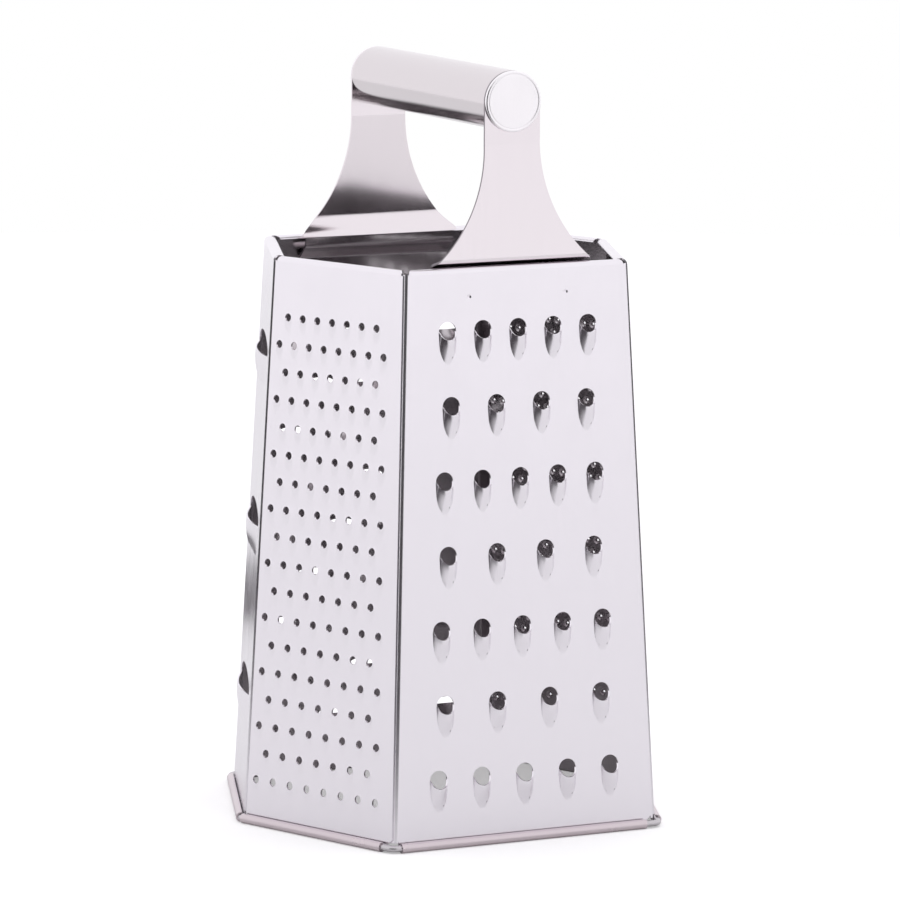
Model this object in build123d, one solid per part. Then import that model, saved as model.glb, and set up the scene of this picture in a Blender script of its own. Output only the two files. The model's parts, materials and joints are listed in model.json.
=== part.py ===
from build123d import *
import os
from math import asin, atan, cos, radians, sin, tan

# Driving sizes of the whole grater, in millimetres.
# The six-sided body tapers upwards. The coarse face looks along -Y, the floor is z = 0.
total_height = 240.0
rim_height = 180.0
rim_half_width = 38.5
rim_half_depth = 52.5
foot_half_width = 45.75
foot_half_depth = 61.0
side_slant_share = 0.386
sheet = 0.5

# Corner bends, with a flange that laps behind the next panel
corner_radius = 2.5
bend_land = 0.3
lap_width = 4.0
seam_gap = 0.15
tongue_drop = 2.2
tongue_lift = 3.0

# Lip turned inwards at the rim
lip_width = 3.6
lip_radius = 1.6
lip_inset = 1.5
lip_droop_angle = 8.0
ear_rise = 0.3

# Foot bead rolled outwards round a stiffening wire
wire_radius = 1.0
wire_fit = 0.03
bead_gap = 4.0
bead_wrap_angle = 285.0
seat_flat = 0.05
foot_notch = 2.4
bead_chords = 12

# Coarse teeth of the front face
coarse_hole_radius = 2.95
coarse_proud = 2.0
coarse_scoop_length = 12.5
coarse_top_row = 160.4
coarse_row_pitch = 23.35
coarse_rows = 7
coarse_holes = 5
coarse_wide_margin = 15.0
coarse_narrow_margin = 16.8

# Fine teeth of the front left face
fine_hole_radius = 1.2
fine_burr_radius = 1.9
fine_burr_shift = 0.55
fine_proud = 0.6
fine_top_row = 161.0
fine_row_pitch = 8.69
fine_rows = 18
fine_holes = 8
fine_margin = 6.35
fine_shift = 1.9

# Slicing slots of the rear left face
slot_half_width = 22.5
slot_rise = 5.0
slot_dip = 0.6
slot_proud = 2.5
slot_scoop_length = 10.0
slot_top_edge = 149.5
slot_pitch = 54.6
slot_count = 3

# Ribbon teeth of the rear face
ribbon_half_width = 5.5
ribbon_rise = 2.2
ribbon_dip = 0.8
ribbon_proud = 1.9
ribbon_scoop_length = 6.0
ribbon_top_row = 146.0
ribbon_row_pitch = 15.8
ribbon_rows = 9
ribbon_holes = 4
ribbon_margin = 13.5

# Medium teeth of the front right face
medium_hole_radius = 2.2
medium_burr_radius = 3.6
medium_burr_shift = 1.1
medium_proud = 1.3
medium_top_row = 156.0
medium_row_pitch = 22.0
medium_rows = 7
medium_holes = 4
medium_margin = 10.5

# Zester points of the rear right face
zester_hole_radius = 1.1
zester_burr_radius = 1.9
zester_proud = 0.8
zester_top_row = 160.0
zester_row_pitch = 18.0
zester_rows = 9
zester_holes = 5
zester_margin = 8.5

# Tube handle, its end caps and the two arms that carry it
tube_radius = 9.5
tube_wall = 0.8
handle_half_length = 49.75
cap_thickness = 1.0
cap_bevel_share = 0.6
arm_sheet = 0.8
arm_base_half_width = 28.0
arm_tab_half_width = 24.0
arm_setback = 1.5
arm_rise = 3.6
arm_neck_share = 0.73
arm_step_angle = 62.0
arm_step_bend_share = 0.42
arm_shoulder_drop = 0.9
arm_bend_radius = 2.0
tab_clearance = 0.6
tab_jog_drop = 3.5
pad_top_drop = 7.5
pad_height = 7.5

# One overrun serves every cut
overrun = 2.0

# Sides of the polygons that stand for round wire, caps and pierced holes, and for half a scoop
cap_sides = 36
coarse_sides = 5
fine_sides = 5
medium_sides = 5
ribbon_sides = 4
slot_sides = 6
wire_sides = 6
zester_sides = 4

# Which panels carry the bend at their left and right corner, seen from outside
carries_bend = {
    "coarse_panel": (True, True),
    "medium_panel": (False, True),
    "zester_panel": (False, False),
    "ribbon_panel": (True, True),
    "slicer_panel": (False, False),
    "fine_panel": (True, False),
}
wall_names = list(carries_bend)
wall_count = len(wall_names)

tube_axis_height = total_height - tube_radius
roll_inner_radius = wire_radius + wire_fit
roll_outer_radius = roll_inner_radius + sheet
wire_height = roll_outer_radius - seat_flat


def half_width(height):
    """Half width of the front face's outer side at a height."""
    return foot_half_width + (rim_half_width - foot_half_width) * height / rim_height


def half_depth(height):
    """Distance of the front face's outer side from the middle at a height."""
    return foot_half_depth + (rim_half_depth - foot_half_depth) * height / rim_height


def body_corner(index, height):
    """Sharp outer corner of the body, counted anticlockwise from the front left one."""
    wide = half_width(height)
    deep = half_depth(height)
    apex = wide + side_slant_share * deep
    corners = [(-wide, -deep), (wide, -deep), (apex, 0), (wide, deep), (-wide, deep), (-apex, 0)]
    x, y = corners[index % wall_count]
    return Vector(x, y, height)


class Wall:
    """One flat face of the body, with its own frame: x to the right, y up, z outwards."""

    def __init__(self, name):
        self.name = name
        self.index = wall_names.index(name)
        self.left_foot = body_corner(self.index, 0)
        self.right_foot = body_corner(self.index + 1, 0)
        self.left_rim = body_corner(self.index, rim_height)
        self.right_rim = body_corner(self.index + 1, rim_height)
        across = self.right_foot - self.left_foot
        upwards = self.left_rim - self.left_foot
        middle = (self.left_foot + self.right_foot) / 2
        self.plane = Plane(origin=middle, x_dir=across, z_dir=across.cross(upwards))
        self.lean = asin(self.plane.z_dir.Z)
        self.bead_y = (wire_height - roll_inner_radius * sin(self.lean)) / cos(self.lean)
        self.lip_y = (rim_height - lip_radius + lip_radius * sin(self.lean)) / cos(self.lean)

    def corner_line(self, right):
        """Foot and rim ends of one corner line in the wall's own frame."""
        foot, rim = (self.right_foot, self.right_rim) if right else (self.left_foot, self.left_rim)
        return self.plane.to_local_coords(foot), self.plane.to_local_coords(rim)

    def edge_x(self, right, y, inset):
        """Place across the wall that lies an inset inside a corner line at a height."""
        foot, rim = self.corner_line(right)
        slope = (rim.X - foot.X) / (rim.Y - foot.Y)
        sideways = inset / cos(atan(slope))
        return foot.X + slope * (y - foot.Y) + (-sideways if right else sideways)

    def neighbour(self, right):
        """Wall on the other side of a corner."""
        step = 1 if right else -1
        return wall_names[(self.index + step) % wall_count]

    def turn(self, right):
        """Angle in radians by which the outer face turns at a corner."""
        other = Wall(self.neighbour(right))
        return radians(self.plane.z_dir.get_angle(other.plane.z_dir))

    def sheet_inset(self, right):
        """Distance from the corner line to the edge of the flat sheet."""
        turn = self.turn(right)
        tangent = corner_radius * tan(turn / 2)
        if carries_bend[self.name][right]:
            return tangent + sheet / sin(turn) + bend_land
        return tangent - sheet / tan(turn) + seam_gap

    def local_y(self, height):
        """Distance up the outer face that reaches a height over the floor."""
        return height / cos(self.lean)


def bent_strip(points, radii, thickness, side):
    """Section of a bent sheet: an outer line with rounded bends, thickened to one side."""
    line = FilletPolyline(*points, radius=radii)
    return make_face(line.wire().offset_2d(thickness, side=side, closed=True))


def flat_sheet(wall):
    """Flat part of a panel, with notched foot corners and small ears under the lip."""
    ear_y = wall.local_y(rim_height - tongue_drop + ear_rise)
    notch_y = wall.bead_y + foot_notch
    outline = []
    for right in (False, True):
        inset = wall.sheet_inset(right)
        rail = [
            (wall.edge_x(right, wall.bead_y, bead_gap), wall.bead_y),
            (wall.edge_x(right, notch_y, inset), notch_y),
            (wall.edge_x(right, ear_y, inset), ear_y),
            (wall.edge_x(right, ear_y, lip_inset), ear_y),
            (wall.edge_x(right, wall.lip_y, lip_inset), wall.lip_y),
        ]
        if abs(inset - lip_inset) < seam_gap:
            rail = rail[:2] + [(wall.edge_x(right, wall.lip_y, inset), wall.lip_y)]
        outline += rail if right else rail[::-1]
    face = make_face(Polyline(*outline, close=True))
    return extrude(face, amount=-sheet)


def rim_lip(wall):
    """Bent lip along the top edge, mitred at both ends."""
    turn = radians(90 + lip_droop_angle) + wall.lean
    reach = lip_width - lip_radius
    run = lip_radius * tan(turn / 2)
    bend_y = wall.lip_y + run
    leg = run + reach
    section_points = [
        (wall.lip_y - bend_land, 0),
        (bend_y, 0),
        (bend_y + leg * cos(turn), -leg * sin(turn)),
    ]
    side_plane = Plane(origin=(0, 0, 0), x_dir=(0, 1, 0), z_dir=(1, 0, 0))
    section = side_plane * bent_strip(section_points, lip_radius, sheet, Side.RIGHT)
    left = wall.edge_x(False, wall.lip_y, lip_inset)
    right = wall.edge_x(True, wall.lip_y, lip_inset)
    lip = extrude(section, amount=right - left, dir=(1, 0, 0))
    lip = Pos(left, 0, 0) * lip
    deep = lip_width + overrun
    left_cut = deep * tan(wall.turn(False) / 2)
    right_cut = deep * tan(wall.turn(True) / 2)
    plan = [
        (left, sheet),
        (left, 0),
        (left + left_cut, -deep),
        (right - right_cut, -deep),
        (right, 0),
        (right, sheet),
    ]
    top_plane = Plane(origin=(0, wall.lip_y - overrun, 0), x_dir=(1, 0, 0), z_dir=(0, -1, 0))
    mitre = extrude(top_plane * make_face(Polyline(*plan, close=True)), amount=-2 * deep)
    return lip & mitre


def foot_bead(wall):
    """Sheet rolled outwards round the wire, drawn with short flats and open at its ends."""
    wrap = radians(bead_wrap_angle)

    def on_roll(radius, share):
        angle = wrap * share
        return (wall.bead_y - radius * sin(angle), roll_inner_radius - radius * cos(angle))

    shares = [step / bead_chords for step in range(bead_chords + 1)]
    outline = [on_roll(roll_outer_radius, share) for share in shares]
    outline += [on_roll(roll_inner_radius, share) for share in reversed(shares)]
    side_plane = Plane(origin=(0, 0, 0), x_dir=(0, 1, 0), z_dir=(1, 0, 0))
    section = side_plane * make_face(Polyline(*outline, close=True))
    left = wall.edge_x(False, wall.bead_y, bead_gap)
    right = wall.edge_x(True, wall.bead_y, bead_gap)
    return Pos(left, 0, 0) * extrude(section, amount=right - left, dir=(1, 0, 0))


def corner_strip(wall, right):
    """Rounded corner of a panel and the flange that laps behind the next one."""
    index = wall.index + (1 if right else 0)
    foot = body_corner(index, 0)
    along = (body_corner(index, rim_height) - foot).normalized()
    outward = wall.plane.z_dir
    toward = along.cross(outward) if right else outward.cross(along)
    turn = wall.turn(right)
    tangent = corner_radius * tan(turn / 2)
    reach = tangent + lap_width
    points = [(-tangent - bend_land, 0), (0, 0), (reach * cos(turn), -reach * sin(turn))]
    start = foot + along * (tongue_lift / along.Z) - toward * (sheet / sin(turn))
    section_plane = Plane(origin=start, x_dir=toward, z_dir=toward.cross(outward))
    section = section_plane * bent_strip(points, corner_radius, sheet, Side.RIGHT)
    length = (rim_height - tongue_drop - tongue_lift) / along.Z
    return extrude(section, amount=length, dir=along)


def half_round(sides, half_width, height, upwards):
    """Corners of half an ellipse drawn with few sides, from left to right."""
    turns = [radians(180 * step / sides) for step in range(sides + 1)]
    sign = 1 if upwards else -1
    return [(-half_width * cos(turn), sign * height * sin(turn)) for turn in turns]


def flat_sided(near, far):
    """Solid with flat sides from one outline to another with as many corners, or to a point."""
    outlines = [near]
    if len(far) > 1:
        outlines.append(far)
    for step, corner in enumerate(near):
        onward = (step + 1) % len(near)
        side = [corner, near[onward], far[step % len(far)]]
        if len(far) > 1:
            side.insert(2, far[onward])
        outlines.append(side)
    return Solid(Shell([make_face(Polyline(*outline, close=True)).face() for outline in outlines]))


def drawn_tooth(sides, half_width, rise, dip, proud, length):
    """Scoop drawn out of the sheet at a hole's lower edge: what it adds and what it opens."""

    def scoop(width, height, base, tail_base):
        arch = half_round(sides, width, height, True)
        mouth = [(x, 0, z) for x, z in [(-width, base), *arch, (width, base)]]
        return flat_sided(mouth, [(0, -length, tail_base)])

    outside = scoop(half_width, proud, -sheet / 2, -sheet / 2)
    inside = scoop(half_width - sheet, proud - sheet, -sheet - overrun, -sheet)
    hole = half_round(sides, half_width, rise, True) + half_round(sides, half_width, dip, False)[-2:0:-1]
    through = sheet + proud + 2 * overrun
    opening = Pos(0, 0, -sheet - overrun) * extrude(make_face(Polyline(*hole, close=True)), amount=through)
    return outside, [inside, opening]


def pricked_tooth(sides, hole_radius, burr_radius, shift, proud):
    """Small pierced hole in a burr that rises to a sharp edge round it."""
    turns = [radians(180 * (2 * step + 1) / sides) for step in range(sides)]
    base = [(burr_radius * cos(turn), burr_radius * sin(turn) - shift, -sheet / 2) for turn in turns]
    edge = [(hole_radius * cos(turn), hole_radius * sin(turn)) for turn in turns]
    burr = flat_sided(base, [(x, y, proud) for x, y in edge])
    hole = make_face(Polyline(*edge, close=True))
    opening = Pos(0, 0, -sheet - overrun) * extrude(hole, amount=sheet + proud + 2 * overrun)
    return burr, [opening]


def staggered_rows(wall, top_row, pitch, rows, holes, margins, shift=0, top_short=False):
    """Places of the holes from the top: full rows alternate with rows one hole short."""
    places = []
    for row in range(rows):
        y = wall.local_y(top_row - pitch * row)
        fewer = (row + top_short) % 2
        left = wall.edge_x(False, y, margins[fewer]) - shift
        right = wall.edge_x(True, y, margins[fewer]) - shift
        count = holes - fewer
        if len(set(margins)) == 1 and fewer:
            half_step = (right - left) / (holes - 1) / 2
            left, right = left + half_step, right - half_step
        for place in range(count):
            places.append((left + (right - left) * place / (count - 1), y))
    return places


def with_teeth(panel, tooth, places):
    """Panel with one tooth repeated at every place."""
    bulge, openings = tooth
    panel = panel.fuse(*[Pos(x, y, 0) * bulge for x, y in places])
    return panel.cut(*[Pos(x, y, 0) * opening for x, y in places for opening in openings])


def build_panel(name, teeth):
    """One stamped panel: flat sheet, corner bends, rim lip, foot bead and teeth."""
    wall = Wall(name)
    panel = flat_sheet(wall).fuse(rim_lip(wall), foot_bead(wall))
    for tooth, places in teeth:
        panel = with_teeth(panel, tooth, places)
    panel = wall.plane.location * panel
    strips = [corner_strip(wall, right) for right in (False, True) if carries_bend[name][right]]
    if strips:
        panel = panel.fuse(*strips)
    span = 4 * foot_half_depth
    floor = Pos(0, 0, -overrun / 2) * Box(span, span, overrun)
    return panel - floor


def build_coarse_panel():
    """Front panel with large round scoops."""
    wall = Wall("coarse_panel")
    radius = coarse_hole_radius
    tooth = drawn_tooth(coarse_sides, radius, radius, radius, coarse_proud, coarse_scoop_length)
    margins = (coarse_wide_margin, coarse_narrow_margin)
    places = staggered_rows(wall, coarse_top_row, coarse_row_pitch, coarse_rows, coarse_holes, margins)
    return build_panel(wall.name, [(tooth, places)])


def build_fine_panel():
    """Front left panel with rows of small pierced teeth."""
    wall = Wall("fine_panel")
    tooth = pricked_tooth(fine_sides, fine_hole_radius, fine_burr_radius, fine_burr_shift, fine_proud)
    margins = (fine_margin, fine_margin)
    pattern = (fine_top_row, fine_row_pitch, fine_rows, fine_holes)
    places = staggered_rows(wall, *pattern, margins, fine_shift, top_short=True)
    return build_panel(wall.name, [(tooth, places)])


def build_slicer_panel():
    """Rear left panel with three wide slicing slots."""
    wall = Wall("slicer_panel")
    tooth = drawn_tooth(slot_sides, slot_half_width, slot_rise, slot_dip, slot_proud, slot_scoop_length)
    places = []
    for row in range(slot_count):
        y = wall.local_y(slot_top_edge - slot_pitch * row)
        places.append(((wall.edge_x(False, y, 0) + wall.edge_x(True, y, 0)) / 2, y))
    return build_panel(wall.name, [(tooth, places)])


def build_ribbon_panel():
    """Rear panel with short wide scoops in staggered rows."""
    wall = Wall("ribbon_panel")
    length = ribbon_scoop_length
    tooth = drawn_tooth(ribbon_sides, ribbon_half_width, ribbon_rise, ribbon_dip, ribbon_proud, length)
    margins = (ribbon_margin, ribbon_margin)
    places = staggered_rows(wall, ribbon_top_row, ribbon_row_pitch, ribbon_rows, ribbon_holes, margins)
    return build_panel(wall.name, [(tooth, places)])


def build_medium_panel():
    """Front right panel with medium pierced teeth."""
    wall = Wall("medium_panel")
    shift = medium_burr_shift
    tooth = pricked_tooth(medium_sides, medium_hole_radius, medium_burr_radius, shift, medium_proud)
    margins = (medium_margin, medium_margin)
    places = staggered_rows(wall, medium_top_row, medium_row_pitch, medium_rows, medium_holes, margins)
    return build_panel(wall.name, [(tooth, places)])


def build_zester_panel():
    """Rear right panel with small square points."""
    wall = Wall("zester_panel")
    tooth = pricked_tooth(zester_sides, zester_hole_radius, zester_burr_radius, 0, zester_proud)
    margins = (zester_margin, zester_margin)
    places = staggered_rows(wall, zester_top_row, zester_row_pitch, zester_rows, zester_holes, margins)
    return build_panel(wall.name, [(tooth, places)])


def bead_line(wall):
    """Plan line through the middle of a wall's foot bead."""
    point = wall.plane.from_local_coords(Vector(0, wall.bead_y, roll_inner_radius))
    return Vector(point.X, point.Y, wire_height), wall.plane.x_dir


def build_base_wire():
    """Stiffening wire, one closed ring through the six beads."""
    corners = []
    for index in range(wall_count):
        here, direction = bead_line(Wall(wall_names[index]))
        there, other = bead_line(Wall(wall_names[(index + 1) % wall_count]))
        gap = there - here
        reach = (gap.X * other.Y - gap.Y * other.X) / (direction.X * other.Y - direction.Y * other.X)
        corners.append(here + direction * reach)
    ring = FilletPolyline(*corners, radius=corner_radius + roll_inner_radius, close=True)
    start = ring.wire().position_at(0)
    section = Plane(origin=start, z_dir=ring.wire().tangent_at(0)) * RegularPolygon(wire_radius, wire_sides)
    return sweep(section, path=ring.wire())


def build_arm():
    """Front arm: a plate with a round head, stepped in at its base to tabs behind the rim."""
    wall = Wall("coarse_panel")
    lean_share = (foot_half_depth - rim_half_depth) / rim_height
    head_face = handle_half_length - cap_thickness
    base_face = rim_half_depth - arm_setback
    tab_face = rim_half_depth - lip_width - tab_clearance
    base_height = rim_height + arm_rise
    neck_height = base_height + (tube_axis_height - base_height) * arm_neck_share
    step_height = base_height - (base_face - tab_face) / tan(radians(arm_step_angle))
    jog_height = rim_height - tab_jog_drop
    pad_top = rim_height - pad_top_drop
    pad_bottom = pad_top - pad_height
    inner_offset = sheet / cos(wall.lean)
    side = [
        (-head_face, total_height + overrun),
        (-head_face, neck_height),
        (-base_face, base_height),
        (-tab_face, step_height),
        (-tab_face - lean_share * (step_height - jog_height), jog_height),
        (inner_offset - half_depth(pad_top), pad_top),
        (inner_offset - half_depth(pad_bottom), pad_bottom),
    ]
    step_length = (Vector(*side[3]) - Vector(*side[2])).length
    step_radius = arm_step_bend_share * step_length / tan(radians(arm_step_angle) / 2)
    radii = [arm_bend_radius, step_radius, step_radius, arm_bend_radius, arm_bend_radius]
    section = Plane.YZ * bent_strip(side, radii, arm_sheet, Side.LEFT)
    plate = extrude(section, amount=arm_base_half_width, both=True)
    shoulder = step_height - arm_shoulder_drop
    half_outline = [
        Line((0, pad_bottom - overrun), (arm_tab_half_width, pad_bottom - overrun)),
        Line((arm_tab_half_width, pad_bottom - overrun), (arm_tab_half_width, shoulder)),
        Line((arm_tab_half_width, shoulder), (arm_base_half_width, shoulder)),
        Line((arm_base_half_width, shoulder), (arm_base_half_width, step_height)),
        TangentArc((tube_radius, neck_height), (arm_base_half_width, step_height), tangent=(0, -1)),
        Line((tube_radius, neck_height), (tube_radius, tube_axis_height)),
        RadiusArc((tube_radius, tube_axis_height), (0, total_height), -tube_radius),
        Line((0, total_height), (0, pad_bottom - overrun)),
    ]
    half = make_face(half_outline)
    outline = Plane.XZ * (half + mirror(half, about=Plane.YZ))
    return plate & extrude(outline, amount=2 * foot_half_depth)


def build_handle_tube():
    """Hollow tube between the heads of the two arms."""
    half_length = handle_half_length - cap_thickness - arm_sheet
    ring = Circle(tube_radius) - Circle(tube_radius - tube_wall)
    section = Plane(origin=(0, 0, tube_axis_height), z_dir=(0, 1, 0)) * ring
    return extrude(section, amount=half_length, both=True)


def build_end_cap():
    """Front cap: a disc with a bevelled rim on the outer face of the arm's head."""
    bevel = cap_thickness * cap_bevel_share
    centre = Plane(origin=(0, cap_thickness - handle_half_length, tube_axis_height), z_dir=(0, -1, 0))
    rim = RegularPolygon(tube_radius, cap_sides)
    front = RegularPolygon(tube_radius - bevel, cap_sides)
    disc = extrude(centre * rim, amount=cap_thickness - bevel)
    outer = centre.offset(cap_thickness - bevel)
    return disc + loft([outer * rim, centre.offset(cap_thickness) * front], ruled=True)


def half_turn(piece):
    """The same piece at the other end of the grater."""
    return Rot(0, 0, 180) * piece


def main():
    os.makedirs("parts", exist_ok=True)
    arm = build_arm()
    cap = build_end_cap()
    pieces = {
        "coarse_panel": build_coarse_panel(),
        "fine_panel": build_fine_panel(),
        "slicer_panel": build_slicer_panel(),
        "ribbon_panel": build_ribbon_panel(),
        "medium_panel": build_medium_panel(),
        "zester_panel": build_zester_panel(),
        "base_wire": build_base_wire(),
        "front_arm": arm,
        "rear_arm": half_turn(arm),
        "handle_tube": build_handle_tube(),
        "front_end_cap": cap,
        "rear_end_cap": half_turn(cap),
    }
    for name, piece in pieces.items():
        export_step(piece, f"parts/{name}.step")


main()
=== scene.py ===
"""Box grater: a six-sided stainless steel grater with a tube handle, dressed around its CAD frame."""

from __future__ import annotations

import json
import logging
import math
from collections.abc import Callable
from dataclasses import dataclass, field
from enum import Enum

import bmesh
import bpy
from mathutils import Matrix, Vector

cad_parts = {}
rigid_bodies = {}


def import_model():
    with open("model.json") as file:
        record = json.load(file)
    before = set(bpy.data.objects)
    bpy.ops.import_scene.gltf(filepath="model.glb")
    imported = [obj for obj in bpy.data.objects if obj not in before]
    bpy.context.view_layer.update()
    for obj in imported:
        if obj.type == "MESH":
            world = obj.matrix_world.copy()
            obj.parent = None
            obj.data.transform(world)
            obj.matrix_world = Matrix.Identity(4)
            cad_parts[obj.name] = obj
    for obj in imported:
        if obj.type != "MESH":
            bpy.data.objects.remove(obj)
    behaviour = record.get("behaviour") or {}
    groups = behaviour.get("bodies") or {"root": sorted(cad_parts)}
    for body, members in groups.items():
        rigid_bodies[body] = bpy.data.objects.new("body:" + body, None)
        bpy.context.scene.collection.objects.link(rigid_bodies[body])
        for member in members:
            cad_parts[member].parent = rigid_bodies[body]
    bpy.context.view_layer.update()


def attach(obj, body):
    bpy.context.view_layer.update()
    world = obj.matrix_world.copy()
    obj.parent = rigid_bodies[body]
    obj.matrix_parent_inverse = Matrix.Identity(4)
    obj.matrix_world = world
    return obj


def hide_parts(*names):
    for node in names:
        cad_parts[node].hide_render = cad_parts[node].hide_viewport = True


LOG = logging.getLogger("box_grater")
MM = 0.001
"""Sizes are written in millimetres; this turns them into Blender's metres."""
MERGE_DISTANCE = 0.002 * MM
"""How near two vertices of one cut are merged, in metres."""
SEAM_DISTANCE = 0.02 * MM
"""How near vertices are merged along the seams between the parts of a piece, in metres."""
IN_SHEET = 1e-7
"""How far from the flat sheet a vertex may lie and still belong to it, in metres."""
ON_FACE = 1e-6
"""How far from a cap's outer face a vertex may lie and still belong to it, in metres."""
FLAT_WEIGHT = 90
"""How strongly large faces set the shading next to small ones."""


def deselect_all() -> None:
    """Leave nothing selected, so that an operator acts only on what is selected after it."""
    for other in bpy.context.view_layer.objects:
        other.select_set(False)


def make_active(piece: bpy.types.Object) -> None:
    """Select one object alone and make it the active one.

    Args:
        piece: The object.
    """
    deselect_all()
    piece.select_set(True)
    bpy.context.view_layer.objects.active = piece


def join(pieces: list[bpy.types.Object]) -> bpy.types.Object:
    """Join objects into the first of them.

    Args:
        pieces: The objects, the first of which stays.

    Returns:
        The joined object.
    """
    make_active(pieces[0])
    for piece in pieces[1:]:
        piece.select_set(True)
    if len(pieces) > 1:
        bpy.ops.object.join()
    return pieces[0]


def copy_of(piece: bpy.types.Object, moved: Matrix) -> bpy.types.Object:
    """Copy an object with a mesh of its own, moved inside that mesh.

    Args:
        piece: The object to copy.
        moved: The move, in metres.

    Returns:
        The copy.
    """
    twin = piece.copy()
    twin.data = piece.data.copy()
    twin.data.transform(moved)
    bpy.context.scene.collection.objects.link(twin)
    return twin


def select_in_edit(
    piece: bpy.types.Object, kind: str,
    wanted: Callable[[bmesh.types.BMVert | bmesh.types.BMEdge | bmesh.types.BMFace], bool],
) -> None:
    """Select the vertices, edges or faces that a test picks, in edit mode.

    Args:
        piece: The object, in edit mode.
        kind: One of verts, edges or faces.
        wanted: Called with each element; true where it is to be selected.
    """
    shape = bmesh.from_edit_mesh(piece.data)
    for element in (*shape.verts, *shape.edges, *shape.faces):
        element.select = False
    for element in [element for element in getattr(shape, kind) if wanted(element)]:
        element.select_set(True)
    bmesh.update_edit_mesh(piece.data)


def merge_doubles(piece: bpy.types.Object, distance: float = MERGE_DISTANCE) -> None:
    """Merge vertices that lie on each other.

    Args:
        piece: The object.
        distance: How near two vertices are merged, in metres.
    """
    make_active(piece)
    bpy.ops.object.mode_set(mode="EDIT")
    bpy.ops.mesh.select_all(action="SELECT")
    bpy.ops.mesh.remove_doubles(threshold=distance)
    bpy.ops.object.mode_set(mode="OBJECT")


def thicken(piece: bpy.types.Object, thickness: float, inner_slot: int = 1, rim_slot: int = 0) -> None:
    """Give a skin the thickness of its sheet, behind the skin, and apply it.

    Args:
        piece: The object whose mesh is the skin.
        thickness: Sheet thickness in millimetres.
        inner_slot: How many material slots further on the inner side finds its finish.
        rim_slot: How many slots further on the sheet's edges find theirs.
    """
    make_active(piece)
    solidify = piece.modifiers.new("sheet", "SOLIDIFY")
    solidify.thickness = thickness * MM
    solidify.offset = -1
    solidify.use_even_offset = False
    solidify.use_quality_normals = True
    solidify.material_offset = inner_slot
    solidify.material_offset_rim = rim_slot
    bpy.ops.object.modifier_apply(modifier=solidify.name)


def arc(middle: Vector, start: Vector, end: Vector, steps: int) -> list[Vector]:
    """Points on an arc, both ends included.

    Args:
        middle: Centre of the arc.
        start: From the centre to the first point.
        end: From the centre to the last point.
        steps: Number of equal parts.

    Returns:
        The points.
    """
    return [middle + start.slerp(end, step / steps).normalized() * start.length for step in range(steps + 1)]


def smooth(piece: bpy.types.Object, degrees: float) -> None:
    """Shade smoothly across edges that turn less than an angle.

    Args:
        piece: The object.
        degrees: The angle.
    """
    make_active(piece)
    bpy.ops.object.shade_smooth_by_angle(angle=math.radians(degrees))


def keep_flats(piece: bpy.types.Object) -> None:
    """Let large flat faces set the shading where they meet small curved ones.

    Args:
        piece: The object, already smooth.
    """
    make_active(piece)
    weigh = piece.modifiers.new("flats", "WEIGHTED_NORMAL")
    weigh.keep_sharp = True
    weigh.weight = FLAT_WEIGHT
    bpy.ops.object.modifier_apply(modifier=weigh.name)


def linear(code: str) -> tuple[float, float, float, float]:
    """Turn an sRGB hex colour into Blender's linear one.

    Args:
        code: Colour such as #E0DDE0.

    Returns:
        Linear red, green, blue and an alpha of one.
    """
    channels = [int(code[place:place + 2], 16) / 255 for place in (1, 3, 5)]
    return (*(c / 12.92 if c <= 0.04045 else ((c + 0.055) / 1.055) ** 2.4 for c in channels), 1.0)


@dataclass
class NodeSheet:
    """One material's nodes and the short way to add them."""

    tree: bpy.types.NodeTree

    def add(self, kind: str, settings: dict | None = None, **links) -> bpy.types.Node:
        """Add a node with its settings and links.

        Args:
            kind: Blender's name of the node.
            settings: Attributes of the node; those that name an input set its value.
            links: Input names, with _ for a space, or i and an input's place, and the sockets or values
                that feed them.

        Returns:
            The node.
        """
        node = self.tree.nodes.new(kind)
        for name, value in (settings or {}).items():
            setattr(node, name, value)
        for name, value in links.items():
            key = int(name[1:]) if name[0] == "i" and name[1:].isdigit() else name.replace("_", " ")
            socket = node.inputs[key]
            if isinstance(value, bpy.types.NodeSocket):
                self.tree.links.new(value, socket)
            else:
                socket.default_value = value
        return node


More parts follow.
